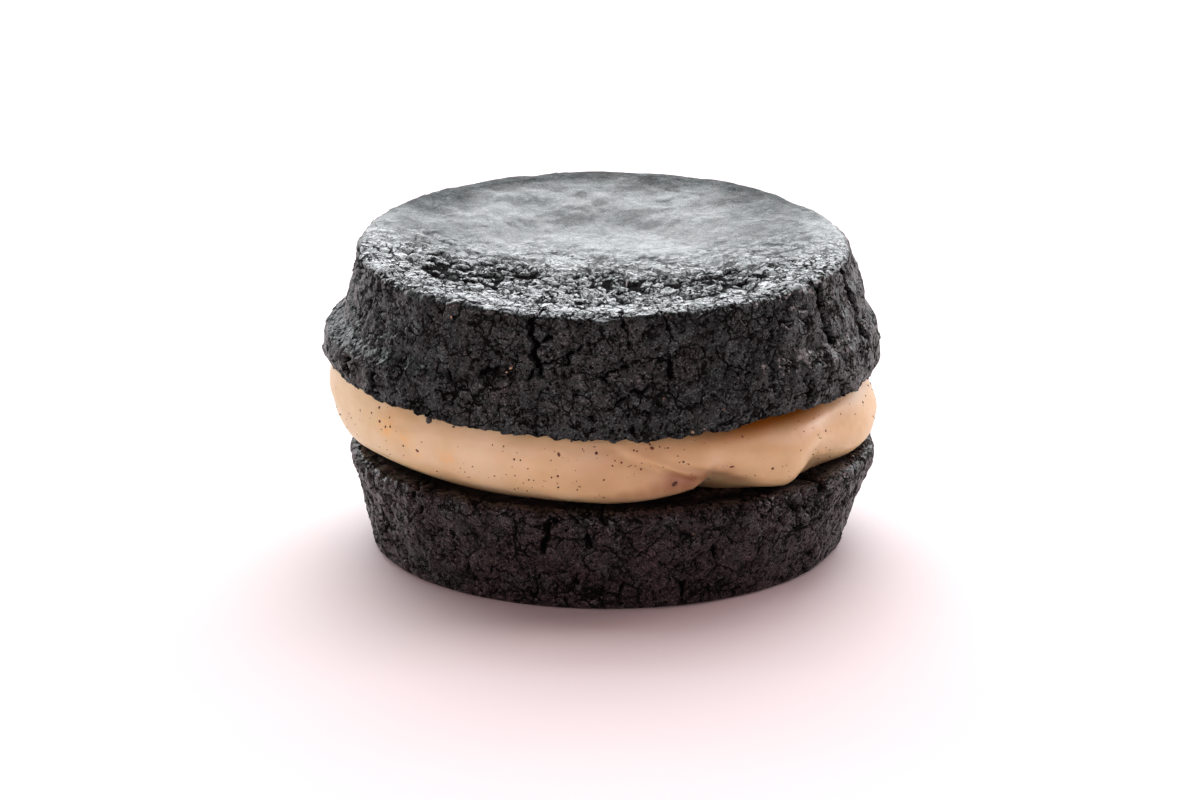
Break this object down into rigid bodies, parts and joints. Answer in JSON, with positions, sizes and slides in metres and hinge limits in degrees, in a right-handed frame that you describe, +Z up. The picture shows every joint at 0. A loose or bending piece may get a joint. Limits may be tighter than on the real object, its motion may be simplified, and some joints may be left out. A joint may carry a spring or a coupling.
{
  "type": "cookie sandwich",
  "caption": "Sandwich of thick black cookies with a dished top and a tan spiced cream filling that bulges at the sides.",
  "frame": {"origin": "middle of the resting face, under the centre of the outline", "axes": "+Z up through the stack of cookie, cream and cookie; the front of the picture faces -Y and its right is +X"},
  "size_m": [0.0619, 0.0592, 0.0351],
  "materials": {
    "lower_crust": "matt black crumbly cookie crust with a faint brown tinge",
    "cream": "soft satin tan cream with small dark spice specks",
    "upper_crust": "black crumbly cookie crust, the dished tin side slightly glossy"
  },
  "bodies": {
    "root": {"lower_cookie": "lower_crust", "cream_filling": "cream", "upper_cookie": "upper_crust"}
  },
  "joints": []
}
